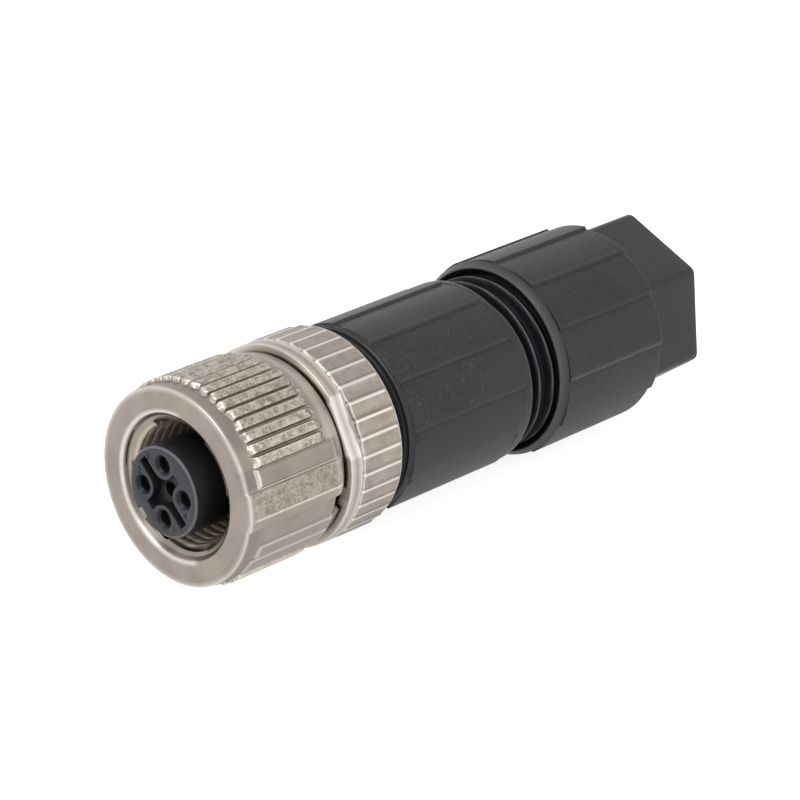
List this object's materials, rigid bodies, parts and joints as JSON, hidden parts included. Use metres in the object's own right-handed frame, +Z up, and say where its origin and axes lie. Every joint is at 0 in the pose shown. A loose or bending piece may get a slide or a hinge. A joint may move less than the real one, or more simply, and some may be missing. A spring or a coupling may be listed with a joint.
{
  "type": "m12 connector",
  "caption": "Straight round cable connector with a ribbed metal coupling nut, keyed socket insert, black gripped housing and a hexagon-ended clamping cap.",
  "frame": {"origin": "centre of the insert's mating face, on the connector's axis", "axes": "+X back along the axis towards the cable, +Z up as the connector lies, -X the way the mating connector leaves"},
  "size_m": [0.0631, 0.0192, 0.0192],
  "materials": {
    "nickel_plate": "satin nickel plate over a cast surface",
    "black_plastic": "fine spark-eroded texture",
    "insert_plastic": "smooth satin",
    "cage_plastic": "smooth satin",
    "seal_rubber": "matt rubber",
    "gold_plate": "thin gold plate",
    "screw_steel": "bright zinc-plated steel"
  },
  "bodies": {
    "connector_body": {"ribbed_ring": "nickel_plate", "nut_clip": "screw_steel", "contact_carrier": "insert_plastic", "terminal_block": "insert_plastic", "socket_contact_1": "gold_plate", "socket_contact_2": "gold_plate", "socket_contact_3": "gold_plate", "socket_contact_4": "gold_plate", "socket_contact_5": "gold_plate", "terminal_screw_1": "screw_steel", "terminal_screw_2": "screw_steel", "terminal_screw_3": "screw_steel", "terminal_screw_4": "screw_steel", "terminal_screw_5": "screw_steel", "face_seal": "seal_rubber", "carrier_seal": "seal_rubber", "housing_seal": "seal_rubber", "housing": "black_plastic", "cable_seal": "seal_rubber"},
    "coupling_nut": {"coupling_nut": "nickel_plate"},
    "clamp_cage": {"clamp_cage": "cage_plastic"},
    "cap_nut": {"cap_nut": "black_plastic"}
  },
  "joints": [
    {"name": "nut_turn", "type": "hinge", "parent": "connector_body", "child": "coupling_nut", "pos_m": [0.008, 0, 0], "axis": [1, 0, 0], "continuous": true},
    {"name": "cap_travel", "type": "slide", "parent": "connector_body", "child": "clamp_cage", "axis": [1, 0, 0], "range_m": [-0.003, 0.0036]},
    {"name": "cap_turn", "type": "hinge", "parent": "clamp_cage", "child": "cap_nut", "pos_m": [0.05, 0, 0], "axis": [1, 0, 0], "range_deg": [-600, 720]}
  ],
  "couplings": [
    {"joint": "cap_travel", "follows": "cap_turn", "m_per_rad": 0.00028648}
  ]
}
